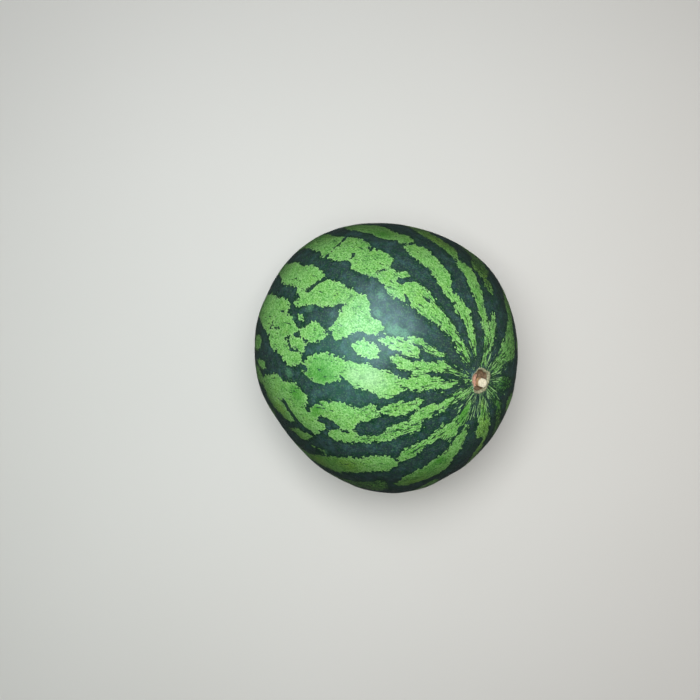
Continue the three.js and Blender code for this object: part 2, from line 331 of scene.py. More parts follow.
class MelonColours(bpy.types.PropertyGroup):
    """Colours of the rind, the scar and the stub."""

    # painted shade: these two darken the colours on the fruit's sides and underneath, where the rind faces
    # away from the overhead light
    side_shade: colour("Side shade", "Multiplies the light patches on the fruit's sides", 180, 182, 166)
    dark_shade: colour("Dark side shade", "Multiplies the dark stripes there", 206, 208, 206)
    light_olive: colour("Olive light rind", "Yellower blotches in the light patches", 134, 182, 62)
    dark: colour("Dark rind", "Broad dark stripes", 42, 60, 62)
    dark_green: colour("Dark green", "Dark stripes close to the light patches", 18, 58, 40)
    light: colour("Light rind", "Light patches", 114, 180, 90)
    light_pale: colour("Pale rind", "Flecks of the light patches", 164, 218, 140)
    light_deep: colour("Deep light rind", "Greener blotches in the light patches", 62, 136, 40)
    bloom: colour("Bloom", "Faint wax on the dark stripes", 62, 96, 100)
    # painted sheen: a whitish colour laid on a few places as a painted highlight
    painted_sheen: colour("Milky green", "Palest places in the light patches", 206, 240, 200)
    faint: colour("Faint green", "Dim places in the dark stripes", 92, 150, 108)
    ground: colour("Ground spot", "The spot that lay on the soil", 214, 196, 120)
    cork: colour("Cork", "Rim round the stem's scar", 170, 170, 136)
    scar: colour("Scar", "Floor of the scar", 122, 98, 74)
    scar_pale: colour("Pale scar", "Pinkish ledge in the scar", 204, 158, 136)
    stub: colour("Stub", "Cut end of the stem", 236, 228, 200)
    stub_side: colour("Stub side", "Dry side of the stub", 176, 140, 96)


class MelonStage(bpy.types.PropertyGroup):
    """Camera, lights and floor."""

    lens: FloatProperty(name="Lens", description="Focal length on a 36 mm film", default=37.54, unit="CAMERA")
    camera_height: length("Camera height", "Above the surface that the fruit lies on", 0.8691)
    key_power: power("Key light", "Power of the overhead light", 15.0)
    sheen_power: power("Sheen light", "Power of the cool panel seen in the gloss", 54.0)
    haze_power: power("Haze light", "Power of the faint cool panel on the left", 13.0)
    fill_power: power("Fill light", "Power of the warm panel on the right", 0.6)
    sky: FloatProperty(
        name="Sky", description="Strength of the even light all round", default=0.06, subtype="FACTOR")


def smooth_step(value, low, high):
    """0 at low and 1 at high, also where low is the greater, with a smooth cubic between them."""
    t = np.clip((value - low) / (high - low), 0, 1)
    return t * t * (3 - 2 * t)


def bell(distance, reach):
    """A bell of height 1 at 0 that has faded out at about twice its reach."""
    return np.exp(-((distance / reach) ** 2))


def waves(points, wavelength, seed):
    """Smooth seeded noise: the sum of 30 plane waves with random directions, phases and, within a
    band, lengths."""
    count = 30
    rng = np.random.default_rng(seed)
    towards = rng.normal(size=(3, count))
    towards /= np.linalg.norm(towards, axis=0)
    lengths = wavelength * rng.uniform(0.7, 1.5, count)
    phases = rng.uniform(0, 2 * np.pi, count)
    return np.cos(points @ (towards * (2 * np.pi / lengths)) + phases).sum(-1) * math.sqrt(2 / count)


def unevenness(points, *layers):
    """The sum of layers of seeded noise, each given by its wavelength and height in mm and its seed."""
    return sum(waves(points, size * MM, seed) * height * MM for size, height, seed in layers)


def stem_frame(form):
    """The stem axis, the way up its slope, and the way across it, as unit vectors."""
    rise, run = math.sin(form.stem_tilt), math.cos(form.stem_tilt)
    return np.array((run, 0, rise)), np.array((-rise, 0, run)), np.array((0.0, 1.0, 0.0))


def centre_height(form):
    """Height of the fruit's middle above the plane that cuts off its resting spot."""
    return math.sqrt(form.mean_radius ** 2 - (form.resting_spot / 2) ** 2)


def rind_directions(form, distance, longitude):
    """Unit vectors from the fruit's middle to places on the rind: distance in m, longitude in radians."""
    axis, uphill, across = stem_frame(form)
    angle = (distance / form.mean_radius)[..., None]
    turn = longitude[..., None]
    return np.cos(angle) * axis + np.sin(angle) * (np.cos(turn) * uphill + np.sin(turn) * across)


def swell(directions):
    """The sum of the swells seen from above: for each, its height times the level part to the power
    of its folds, times the cosine of its folds times the azimuth from its crest."""
    azimuth = np.arctan2(directions[..., 1], directions[..., 0])
    level = np.hypot(directions[..., 0], directions[..., 1])
    return sum(
        height * MM * level ** folds * np.cos(folds * (azimuth - math.radians(crest)))
        for folds, height, crest in SWELLS)


def scar_radius(distance, longitude):
    """Distance from the stem axis as if the scar were round: its outline has a few slow waves."""
    wavy = 1 + 0.05 * np.cos(5 * longitude + 0.6) + 0.035 * np.cos(3 * longitude - 1.1)
    return distance / (wavy + 0.02 * np.sin(9 * longitude))


def ledge_side(longitude, low):
    """1 on the uphill side of the scar, where its ledge is, and 0 on the other."""
    return smooth_step(np.cos(longitude + 0.35), low, 0.9)


def stem_end(form, distance, longitude, points):
    """Basin, corky rim and sunken scar: a bell for the basin, a narrow bell on a ring for the rim,
    and a smooth step for the scar's wall. The ledge and the pit of its floor are bells, its knobs noise."""
    around = scar_radius(distance, longitude)
    basin = -form.basin_depth * bell(distance, form.basin_reach)
    rim = form.scar_rim_height * bell(around - form.scar_rim, form.scar_rim_width)
    inside = 1 - smooth_step(around, form.scar_cup - 1.2 * MM, form.scar_cup + 0.8 * MM)
    ledge_radius, ledge_width, ledge_height = 5.5 * MM, 2.6 * MM, 1.1 * MM
    ledge = bell(around - ledge_radius, ledge_width) * ledge_side(longitude, -0.1)
    pit_aside, pit_uphill, pit_width, pit_depth = 5.8 * MM, 0.3 * MM, 1.1 * MM, 1.6 * MM
    pit_across = around * np.sin(longitude) - pit_aside
    pit_up = around * np.cos(longitude) - pit_uphill
    pit = bell(np.hypot(pit_across, pit_up), pit_width)
    knobs = unevenness(points, (2.4, 0.16, 21), (1.1, 0.07, 22))
    floor = -form.scar_depth + ledge_height * ledge - pit_depth * pit + knobs * 1.6
    corky = bell(around - form.scar_rim, 2 * form.scar_rim_width)
    return basin + rim + inside * floor + knobs * corky


def blossom_end(form, distance, longitude, points):
    """Dimple and button, each a bell, with a small pit and ragged edge on the button."""
    ragged = 1 + 0.12 * np.cos(5 * longitude)
    button = form.button_height * bell(distance, form.button_radius * ragged)
    pit_depth, pit_width = 0.9 * MM, 1.2 * MM
    pit = -pit_depth * bell(distance, pit_width)
    knobs = unevenness(points, (1.6, 0.1, 31)) * bell(distance, 1.3 * form.button_radius)
    return -form.dimple_depth * bell(distance, form.dimple_reach) + button + pit + knobs


def skin_points(form, distance, longitude):
    """Places on the skin: the mean radius plus swells, ribs, a faint unevenness and the two ends,
    along each direction, and never below the resting plane, where a soft bend rounds the edge."""
    directions = rind_directions(form, distance, longitude)
    ball = directions * form.mean_radius
    from_blossom = math.pi * form.mean_radius - distance
    ribs = form.rib_height * np.sin(distance / form.mean_radius) ** 2 * np.cos(form.rib_count * longitude)
    uneven = unevenness(ball, (34, 0.16, 41), (13, 0.05, 42))
    ends = stem_end(form, distance, longitude, ball) + blossom_end(form, from_blossom, longitude, ball)
    radius = form.mean_radius + swell(directions) + ribs + uneven + ends
    points = directions * radius[..., None]
    points[..., 2] += centre_height(form)
    height = points[..., 2]
    bend, bend_below = 0.3 * MM, 8 * MM
    points[..., 2] = np.where(height < bend_below, bend * np.logaddexp(0, height / bend), height)
    return points


def grid_rows(quarter, fine, fine_reach):
    """Distances from one end to the middle: steps of fine up to fine_reach, then growing to wide."""
    growth, wide = 1.12, 2.4 * MM
    rows, step, distance = [], fine, 0.0
    while distance < quarter - step / 2:
        rows.append(distance)
        step = fine if distance < fine_reach else min(step * growth, wide)
        distance += step
    return np.array(rows)


def per_vertex(grid):
    """A grid's values in the order of a closed mesh's vertices, with one for each end row."""
    return np.concatenate((grid[:1, 0], grid[1:-1].reshape(-1, *grid.shape[2:]), grid[-1:, 0]))


def closed_mesh(name, points):
    """A closed mesh from a grid of points, whose first and last rows are each one point. The rows run
    from the first pole to the last, and the columns turn so that the faces look outwards."""
    rows, columns = points.shape[:2]
    flat = per_vertex(points)
    ring = 1 + np.arange((rows - 2) * columns).reshape(rows - 2, columns)
    after = np.roll(ring, -1, axis=1)
    quads = np.stack((ring[:-1], after[:-1], after[1:], ring[1:]), axis=-1).reshape(-1, 4)
    first_fan = np.stack((np.zeros(columns, int), after[0], ring[0]), axis=-1)
    last_fan = np.stack((np.full(columns, len(flat) - 1), ring[-1], after[-1]), axis=-1)
    mesh = bpy.data.meshes.new(name)
    faces = [*first_fan.tolist(), *last_fan.tolist(), *quads.tolist()]
    mesh.from_pydata(flat, [], faces, shade_flat=False)
    mesh.validate()
    return mesh


def add_values(mesh, **grids):
    """Stores grids of numbers or of vectors as attributes of the mesh's vertices."""
    for name, grid in grids.items():
        kind, field = ("FLOAT", "value") if grid.ndim == 2 else ("FLOAT_VECTOR", "vector")
        attribute = mesh.attributes.new(name, kind, "POINT")
        attribute.data.foreach_set(field, per_vertex(grid).astype(np.float32).ravel())


def wrapped(degrees):
    """An angle in degrees brought to within half a turn of 0."""
    return (degrees + 180) % 360 - 180


def patch_depth(edges, distance, longitude, mm_per_degree):
    """How far inside a patch each place is, in mm: the least of its distances to the two edges, which
    are straight between the given places, and to the two ends."""
    at, west, east = np.array(edges, float).T
    middle = (west[0] + east[0]) / 2
    offset = wrapped(longitude - middle)
    to_west = (offset - np.interp(distance, at, west - middle)) * mm_per_degree
    to_east = (np.interp(distance, at, east - middle) - offset) * mm_per_degree
    past_ends = 1.5
    to_ends = np.minimum(distance - at[0], at[-1] - distance) + past_ends
    return np.minimum(np.minimum(to_west, to_east), to_ends)


def crease_depth(half_width, path, distance, longitude, mm_per_degree):
    """How far inside a crease each place is, in mm: its half-width less the distance to the nearest
    stretch of its path."""
    nearest = np.full(distance.shape, np.inf)
    for (d0, l0), (d1, l1) in zip(path, path[1:]):
        along = np.array((d1 - d0, (l1 - l0) * mm_per_degree_at(d0)))
        here = np.stack((distance - d0, wrapped(longitude - l0) * mm_per_degree), axis=-1)
        share = np.clip(here @ along / (along @ along), 0, 1)
        nearest = np.minimum(nearest, np.linalg.norm(here - share[..., None] * along, axis=-1))
    return half_width - nearest


def mm_per_degree_at(distance):
    """Length of a degree of longitude on the rind, in mm, at a distance from the stem in mm."""
    radius = bpy.context.scene.melon_form.mean_radius / MM
    return radius * np.sin(distance / radius) * math.pi / 180


def hidden_patches():
    """Patches for the stripes that no photograph shows: each runs towards the blossom end in pieces,
    with seeded changes of width and place, and with gaps. Lengths are in mm along the rind."""
    rng = np.random.default_rng(HIDDEN_SEED)
    row_step, shortest_piece, greatest_drift = 8.0, 24, 5
    taper_length, narrowing_length, narrowed_out = 11, 120, 412
    patches = []
    for centre, half_width, start, end in HIDDEN_STRIPES:
        row = start + rng.uniform(-4, 4)
        drift = 0.0
        while row < end - shortest_piece:
            reach = min(row + rng.uniform(50, 150), end)
            steps = np.arange(row, reach, row_step)
            from_tip = np.minimum(steps - row + 3, reach - steps + 1)
            taper = np.clip(from_tip / taper_length, 0.25, 1) ** 0.6
            drift = drift + np.cumsum(rng.normal(0, 1.1, len(steps))) * 0.6
            narrowing = np.clip((narrowed_out - steps) / narrowing_length, 0.1, 1)
            halves = half_width * taper * rng.uniform(0.72, 1.3, (2, len(steps))) * narrowing
            scale = mm_per_degree_at(steps)
            edges = (centre + (drift - halves[0]) / scale, centre + (drift + halves[1]) / scale)
            patches.append((0.25, tuple(zip(steps, *edges))))
            drift = float(np.clip(drift[-1], -greatest_drift, greatest_drift))
            row = steps[-1] + rng.uniform(1, 6)
    return patches


def rind_pattern(points, distance, longitude):
    """Depth inside the light patches in mm, negative outside them, and how broken up the nearest patch
    is. The places are first shifted by smooth noise, which scallops the edges."""
    slow_down, slow_across, quick_down, quick_across = (
        waves(points, size * MM, seed) * 0.4 for size, seed in ((15, 51), (15, 52), (6, 53), (6, 54)))
    down = distance + slow_down + quick_down
    # at the poles a degree has no length, so the shift fades out there
    mm_per_degree = np.maximum(mm_per_degree_at(distance), 0.02)
    fade = smooth_step(mm_per_degree, 0.1, 0.8)
    across = longitude + (slow_across + quick_across) * fade / np.maximum(mm_per_degree, 0.3)
    depth = np.full(distance.shape, -30.0)
    broken = np.full(distance.shape, 0.3)
    for speckle, edges in (*LIGHT_PATCHES.values(), *hidden_patches()):
        inside = patch_depth(edges, down, across, mm_per_degree)
        broken = np.where(inside > depth, speckle, broken)
        depth = np.maximum(depth, inside)
    # a crease counts twice its depth, so that it stays open under the teeth of the material
    for half_width, path in CREASES:
        crease = crease_depth(half_width + 0.3, path, down, across, mm_per_degree)
        depth = np.minimum(depth, -2.0 * crease)
    return depth, broken


def blotches(spots, distance, longitude):
    """Strength of the blotches: the greatest of a bell for each spot."""
    strength = np.zeros(distance.shape)
    for at, where, radius in spots:
        away = np.hypot(distance - at, wrapped(longitude - where) * mm_per_degree_at(at))
        strength = np.maximum(strength, bell(away, radius))
    return strength


def streak_values(distance, longitude):
    """Where the rind is streaked along its meridians, from the distance in mm and the longitude in
    degrees: smooth steps that fade away from the stem, later on the side beneath it."""
    beneath = smooth_step(np.abs(wrapped(longitude - 200)), 150, 85)
    near_stem = 1 - smooth_step(distance, 20, 52 + 16 * beneath)
    return {
        "combed": 1 - 0.75 * smooth_step(distance, 40, 150),
        "streaky": 1 - smooth_step(distance, 22.32, 62),
        "dashed": (0.72 + 0.28 * beneath) * near_stem,
    }


def sunned_share(directions):
    """1 where the rind faces up and 0 on its sides and underneath, with a smooth step between them that
    comes sooner towards +Y and -Y. It is a share of painted light: where it is low, the colours get painted
    shade."""
    return smooth_step(directions[..., 2] - 0.6 * directions[..., 1] ** 2, 0.05, 0.6)


def ground_share(form, points):
    """The spot that lay on the soil: a cone round its middle, on the lower part of the fruit."""
    middle_x, middle_y, radius = 12 * MM, -8 * MM, 58 * MM
    away = np.hypot(points[..., 0] - middle_x, points[..., 1] - middle_y) / radius
    low = points[..., 2] < 0.6 * form.mean_radius
    return np.where(low, np.clip(1.2 - away, 0, 1), 0.0)


def scar_values(form, distance, longitude):
    """Masks of the corky rim and button, of the scar's floor and of its ledge."""
    around = scar_radius(distance, longitude)
    from_blossom = math.pi * form.mean_radius - distance
    rim = 1 - smooth_step(around, form.scar_rim - 0.1 * MM, form.scar_rim + 1.1 * MM)
    button = 1 - smooth_step(from_blossom, form.button_radius * 0.8, form.button_radius * 1.5)
    edge = 0.7 * MM
    return {
        "cork": np.maximum(rim, button),
        "scar": 1 - smooth_step(around, form.scar_cup - edge, form.scar_cup + edge),
        "ledge": bell(around - 6 * MM, 3 * MM) * ledge_side(longitude, 0.1),
    }


class Nodes:
    """Short ways to lay out a material's nodes."""

    def __init__(self, name):
        self.material = bpy.data.materials.new(name)
        self.material.use_nodes = True
        self.tree = self.material.node_tree
        self.shader = self.tree.nodes["Principled BSDF"]
        self.place = self.tree.nodes.new("ShaderNodeTexCoord").outputs["Object"]

    def node(self, kind, *inputs, **settings):
        """A new node with these settings, whose first sockets are joined or given values."""
        node = self.tree.nodes.new("ShaderNode" + kind)
        for name, value in settings.items():
            setattr(node, name, value)
        for socket, value in zip(node.inputs, inputs):
            self.set(socket, value)
        return node

    def set(self, socket, value):
        """Joins a socket to another, or gives it a value."""
        if isinstance(value, bpy.types.NodeSocket):
            self.tree.links.new(value, socket)
        else:
            socket.default_value = value

    def attribute(self, name, output="Fac"):
        return self.node("Attribute", attribute_name=name).outputs[output]

    def noise(self, size, detail=2.0, rough=0.5, where=None, output="Fac"):
        """Noise with features of about this size in metres, or in the units of where."""
        node = self.node("TexNoise")
        self.set(node.inputs["Vector"], where or self.place)
        node.inputs["Scale"].default_value = 1 / size
        node.inputs["Detail"].default_value = detail
        node.inputs["Roughness"].default_value = rough
        return node.outputs[output]

    def cells(self, size, feature="F1", where=None):
        """Distance in Voronoi cells of about this size, as a share of it."""
        node = self.node("TexVoronoi", feature=feature)
        self.set(node.inputs["Vector"], where or self.place)
        node.inputs["Scale"].default_value = 1 / size
        return node.outputs["Distance"]

    def warped(self, size, amount):
        """Object coordinates shifted by noise with features of this size, by up to half the amount."""
        shift = self.noise(size, 2.0, output="Color")
        return self.node("VectorMath", shift, (amount,) * 3, self.place, operation="MULTIPLY_ADD").outputs[0]

    def maths(self, operation, *inputs):
        return self.node("Math", *inputs, operation=operation).outputs[0]

    def plus_noise(self, value, noise, height):
        """The value plus noise that goes from -height/2 to height/2. The height may be a socket."""
        return self.maths("MULTIPLY_ADD", self.maths("SUBTRACT", noise, 0.5), height, value)

    def step(self, value, low, high, to_low=0.0, to_high=1.0):
        """A smooth step from to_low at low to to_high at high."""
        inputs = (value, low, high, to_low, to_high)
        return self.node("MapRange", *inputs, interpolation_type="SMOOTHSTEP").outputs[0]

    def above(self, value, level, soft):
        """0 where the value is below the level, and 1 where it is above it by soft."""
        return self.step(value, level, self.maths("ADD", level, soft))

    def blend(self, share, first, second, kind="MIX"):
        """The first colour where share is 0 and the second, or both blended by kind, where it is 1."""
        node = self.node("Mix", share, data_type="RGBA", blend_type=kind)
        for socket, given in ((node.inputs[6], first), (node.inputs[7], second)):
            self.set(socket, given if isinstance(given, bpy.types.NodeSocket) else (*given, 1.0))
        return node.outputs[2]

    def washed(self, colour, *washes):
        """A colour with washes laid over it in turn. Each wash is a value, where it starts to show and
        where it shows most, its share there, and its colour."""
        for value, start, full, share, over in washes:
            colour = self.blend(self.step(value, start, full, 0.0, share), colour, over)
        return colour

    def scaled(self, vector, factors):
        return self.node("VectorMath", vector, factors, operation="MULTIPLY").outputs[0]

    def combed(self, flip=1.0):
        """Noise drawn out along the meridians, with features about 1 mm wide and 7 mm long at every
        distance from the stem. Flip -1 gives another pattern."""
        along = self.attribute("along")
        grain = self.attribute("grain", "Vector")
        near, middle, far = (
            self.noise(size, 1.0, 0.6, self.scaled(grain, (flip, 1.0, stretch)))
            for size, stretch in ((0.046, 0.6), (0.024, 0.36), (0.012, 0.24)))
        return self.step(along, 85, 115, self.step(along, 38, 54, near, middle), far)

    def bump(self, size, detail, rough, height, strength=1.0, under=None):
        """A normal roughened by noise of this size and height, on top of another normal."""
        node = self.node("Bump")
        self.set(node.inputs["Height"], self.noise(size, detail, rough))
        node.inputs["Distance"].default_value = height
        self.set(node.inputs["Strength"], strength)
        if under:
            self.set(node.inputs["Normal"], under)
        return node.outputs[0]

    def finish(self, base, rough, normal, **uniform):
        """Joins the shader's colour, roughness and normal, and sets its uniform sockets."""
        self.set(self.shader.inputs["Base Color"], base)
        self.set(self.shader.inputs["Roughness"], rough)
        self.set(self.shader.inputs["Normal"], normal)
        for name, value in uniform.items():
            self.shader.inputs[name.replace("_", " ")].default_value = value
        return self.material


def darker(colour, share):
    """A colour with its channels brought down to this share."""
    return tuple(channel * share for channel in colour)


def ragged_edge(n, teeth):
    """Depth inside the light patches with their edges roughened: by coarse and fine teeth, and near
    the stem by streaks along the meridians."""
    edge = n.plus_noise(n.attribute("light_depth"), teeth, 9.0)
    edge = n.plus_noise(edge, n.noise(2.0 * MM, 1.0, 0.6), 4.5)
    streaky = n.attribute("streaky")
    streaks = n.noise(0.05, 3.0, 0.65, n.attribute("grain", "Vector"))
    streaks = n.maths("MULTIPLY", n.maths("SUBTRACT", streaks, 0.5), streaky)
    edge = n.maths("MULTIPLY_ADD", streaks, 8.0, edge)
    comb_height = n.maths("MULTIPLY_ADD", streaky, 9.0, n.maths("MULTIPLY", n.attribute("combed"), 7.0))
    return n.plus_noise(edge, n.combed(), comb_height)


def dark_marks(n):
    """Dark specks, short veins and, near the stem, streaks in the light patches. The more broken up a
    patch is, the more there are."""
    broken = n.attribute("broken")
    speck_level = n.maths("MULTIPLY_ADD", broken, -0.18, 0.68)
    specks = n.above(n.noise(1.7 * MM, 2.0, 0.68), speck_level, 0.035)
    veins = n.cells(7.5 * MM, "DISTANCE_TO_EDGE", n.warped(2.5 * MM, 6 * MM))
    gaps = n.step(n.noise(7 * MM, 2.0), 0.5, 0.62, 0.0, 0.5)
    veins = n.maths("MULTIPLY", n.step(veins, 0.055, 0.02), gaps)
    streak_level = 0.69
    for attribute, lower in (("combed", -0.07), ("streaky", -0.06), ("broken", -0.07)):
        streak_level = n.maths("MULTIPLY_ADD", n.attribute(attribute), lower, streak_level)
    stem_streaks = n.above(n.combed(-1.0), streak_level, 0.03)
    return n.maths("MAXIMUM", n.maths("MAXIMUM", specks, veins), stem_streaks)


def light_colour(n, colours, edge, mottle, flecks, painted_shade):
    """Colour of the light patches: flecks and broader blotches, paler at the patches' edges, with a painted
    sheen in a few places and painted shade on the fruit's sides and underneath.
    """
    pale, deep = colours.light_pale, colours.light_deep
    base = n.washed(
        n.blend(n.attribute("olive"), colours.light, colours.light_olive),
        (mottle, 0.48, 0.72, 0.6, pale), (mottle, 0.5, 0.32, 0.6, deep),
        (flecks, 0.50, 0.64, 0.65, pale), (flecks, 0.46, 0.34, 0.65, deep),
        (n.noise(24 * MM, 2.0, 0.5), 0.5, 0.72, 0.3, deep),
        (n.noise(13 * MM, 3.0), 0.5, 0.7, 0.14, colours.light_olive),
        (n.noise(7 * MM, 2.0), 0.52, 0.68, 0.24, deep))
    deeper = n.maths("MULTIPLY", n.attribute("deeper"), n.step(mottle, 0.3, 0.62, 1.0, 0.68))
    base = n.washed(n.blend(deeper, base, deep), (edge, 2.6, 0.6, 0.55, pale))
    # painted sheen: a whitish blend on a few places, standing in for a soft highlight
    base = n.blend(n.maths("MULTIPLY", n.attribute("painted_sheen"), 0.3), base, colours.painted_sheen)
    # painted shade: the light patches are darkened on the fruit's sides and underneath
    return n.blend(painted_shade, base, colours.side_shade, "MULTIPLY")


def dark_colour(n, colours, edge, mottle, flecks, painted_shade):
    """Colour of the dark stripes: green close to the patches and darkest along their edges, slate with
    faint bloom away from them, pale dashes near the stem, and painted shade on the fruit's sides and
    underneath."""
    dark, green = colours.dark, colours.dark_green
    faint = n.plus_noise(n.attribute("faint"), mottle, 1.6)
    base = n.washed(
        dark, (edge, -3.5, -0.4, 0.8, green), (n.noise(9 * MM, 4.0, 0.6), 0.46, 0.68, 0.55, colours.bloom),
        (n.noise(5 * MM, 3.0, 0.65), 0.47, 0.62, 0.65, green), (flecks, 0.5, 0.70, 0.16, colours.light),
        (faint, 0.2, 1.0, 0.55, colours.faint), (edge, -2.6, 0.2, 0.5, darker(green, 0.35)))
    # painted shade: the dark stripes are darkened on the fruit's sides and underneath
    base = n.blend(painted_shade, base, colours.dark_shade, "MULTIPLY")
    base = n.washed(base, (flecks, 0.46, 0.3, 0.5, darker(dark, 0.6)))
    pale_level = n.maths("MULTIPLY_ADD", n.attribute("dashed"), -0.27, 0.84)
    pale_grain = n.noise(0.042, 2.0, 0.55, n.scaled(n.attribute("grain", "Vector"), (1.0, -1.0, 0.4)))
    pale_dashes = n.maths("MULTIPLY", n.above(pale_grain, pale_level, 0.03), 0.9)
    return n.blend(pale_dashes, base, colours.light_pale)


def rind_material(colours):
    """Waxy striped rind, with the spot that lay on the soil and the cork of the scars."""
    n = Nodes("striped rind")
    teeth = n.noise(3.8 * MM, 2.0, 0.62)
    edge = ragged_edge(n, teeth)
    unmarked = n.maths("SUBTRACT", 1.0, n.maths("MULTIPLY", dark_marks(n), 0.92))
    light = n.maths("MULTIPLY", n.step(edge, 0.4, 1.0), unmarked)
    mottle = n.noise(1.8 * MM, 3.0, 0.7)
    flecks = n.noise(1.35 * MM, 1.0, 0.6)
    # painted shade: 1 on the fruit's sides and underneath, 0 where the rind faces up
    painted_shade = n.maths("SUBTRACT", 1.0, n.attribute("sunned"))
    given = (n, colours, edge, mottle, flecks, painted_shade)
    base = n.blend(light, dark_colour(*given), light_colour(*given))

    soil = n.plus_noise(n.attribute("ground"), n.noise(14 * MM, 2.0), 0.5)
    base = n.washed(base, (soil, 0.2, 0.95, 0.85, colours.ground))
    cork, scar = (
        n.step(n.plus_noise(n.attribute(name), teeth, 0.5), 0.4, 0.6) for name in ("cork", "scar"))
    scar_noise = n.noise(1.7 * MM, 4.0, 0.65)
    cork_colour = n.washed(darker(colours.cork, 0.5), (scar_noise, 0.38, 0.62, 1.0, colours.cork))
    ledge = n.plus_noise(n.attribute("ledge"), scar_noise, 1.6)
    scar_colour = n.washed(
        darker(colours.scar, 0.55), (scar_noise, 0.35, 0.65, 1.0, colours.scar),
        (ledge, 0.3, 0.7, 1.0, colours.scar_pale))
    base = n.blend(scar, n.blend(cork, base, cork_colour), scar_colour)

    dry = n.maths("MAXIMUM", cork, scar)
    rough = n.step(n.noise(7 * MM, 3.0, 0.6), 0.35, 0.65, 0.27, 0.46)
    rough = n.maths("MULTIPLY_ADD", dry, 0.42, rough)
    pores = n.bump(0.9 * MM, 3.0, 0.6, 0.03 * MM, 0.5)
    soft = n.bump(5.5 * MM, 3.0, 0.5, 0.12 * MM, 0.5, pores)
    crusty = n.bump(0.8 * MM, 4.0, 0.7, 0.3 * MM, dry, soft)
    return n.finish(base, rough, crusty, IOR=1.42, Specular_IOR_Level=0.28)


def stub_material(colours):
    """Dry cut stem: fibrous cream end with small bundle marks, browner down the side."""
    n = Nodes("dry stem")
    fibre = n.noise(0.9 * MM, 4.0, 0.7)
    end = n.washed(colours.stub, (fibre, 0.35, 0.72, 1.0, darker(colours.stub, 0.72)))
    side = n.washed(colours.stub_side, (fibre, 0.4, 0.65, 1.0, colours.scar))
    base = n.blend(n.step(n.plus_noise(n.attribute("cut_end"), fibre, 0.6), 0.15, 0.5), side, end)
    base = n.washed(base, (n.cells(1.5 * MM), 0.24, 0.12, 0.35, colours.stub_side))
    return n.finish(base, 0.8, n.bump(0.6 * MM, 4.0, 0.7, 0.25 * MM, 0.8), Specular_IOR_Level=0.3)


def floor_material():
    """Plain pale matt surface."""
    n = Nodes("pale floor")
    tone = n.blend(n.noise(0.4, 2.0), from_srgb(218, 216, 211), from_srgb(224, 222, 218))
    return n.finish(tone, 0.7, n.bump(2 * MM, 2.0, 0.5, 0.02 * MM, 0.3), Specular_IOR_Level=0.25)


def place_in_scene(context, mesh, material):
    piece = bpy.data.objects.new(mesh.name, mesh)
    mesh.materials.append(material)
    context.scene.collection.objects.link(piece)
    return piece


def full_turn(sectors):
    """Angles of the columns of a grid, in radians."""
    return np.arange(sectors) / sectors * 2 * math.pi


class MELON_OT_rind(bpy.types.Operator):
    """Make the fruit's skin with its stripes, its scars and its flat resting spot"""

    bl_idname = "melon.rind"
    bl_label = "Make the rind"

    sectors = 420
    fine_row, fine_reach = 0.36 * MM, 15 * MM
    button_row, button_reach = 0.8 * MM, 6 * MM

    def execute(self, context):
        form = context.scene.melon_form
        quarter = math.pi / 2 * form.mean_radius
        from_stem = grid_rows(quarter, self.fine_row, self.fine_reach)
        from_blossom = grid_rows(quarter, self.button_row, self.button_reach)
        rows = np.concatenate((from_stem, (quarter,), 2 * quarter - from_blossom[::-1]))
        distance, longitude = np.meshgrid(rows, full_turn(self.sectors), indexing="ij")
        points = skin_points(form, distance, longitude)
        mesh = closed_mesh("watermelon_rind", points)

        distance_mm = distance / MM
        degrees = np.degrees(longitude)
        directions = rind_directions(form, distance, longitude)
        depth, broken = rind_pattern(directions * form.mean_radius, distance_mm, degrees)
        add_values(mesh, light_depth=depth, broken=broken)
        for name, spots in BLOTCHES.items():
            add_values(mesh, **{name: blotches(spots, distance_mm, degrees)})
        # longitude as a circle and distance as a height, so that noise is drawn out along the meridians
        grain = np.stack((np.cos(longitude), np.sin(longitude), distance_mm * 0.0085), axis=-1)
        # the facing share stored below sets where the colours get painted shade on the fruit's sides
        add_values(
            mesh, along=distance_mm, grain=grain, sunned=sunned_share(directions),
            ground=ground_share(form, points), **streak_values(distance_mm, degrees),
            **scar_values(form, distance, longitude))

        rind = place_in_scene(context, mesh, rind_material(context.scene.melon_colours))
        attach(rind, "root")
        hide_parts("fruit")
        return {"FINISHED"}


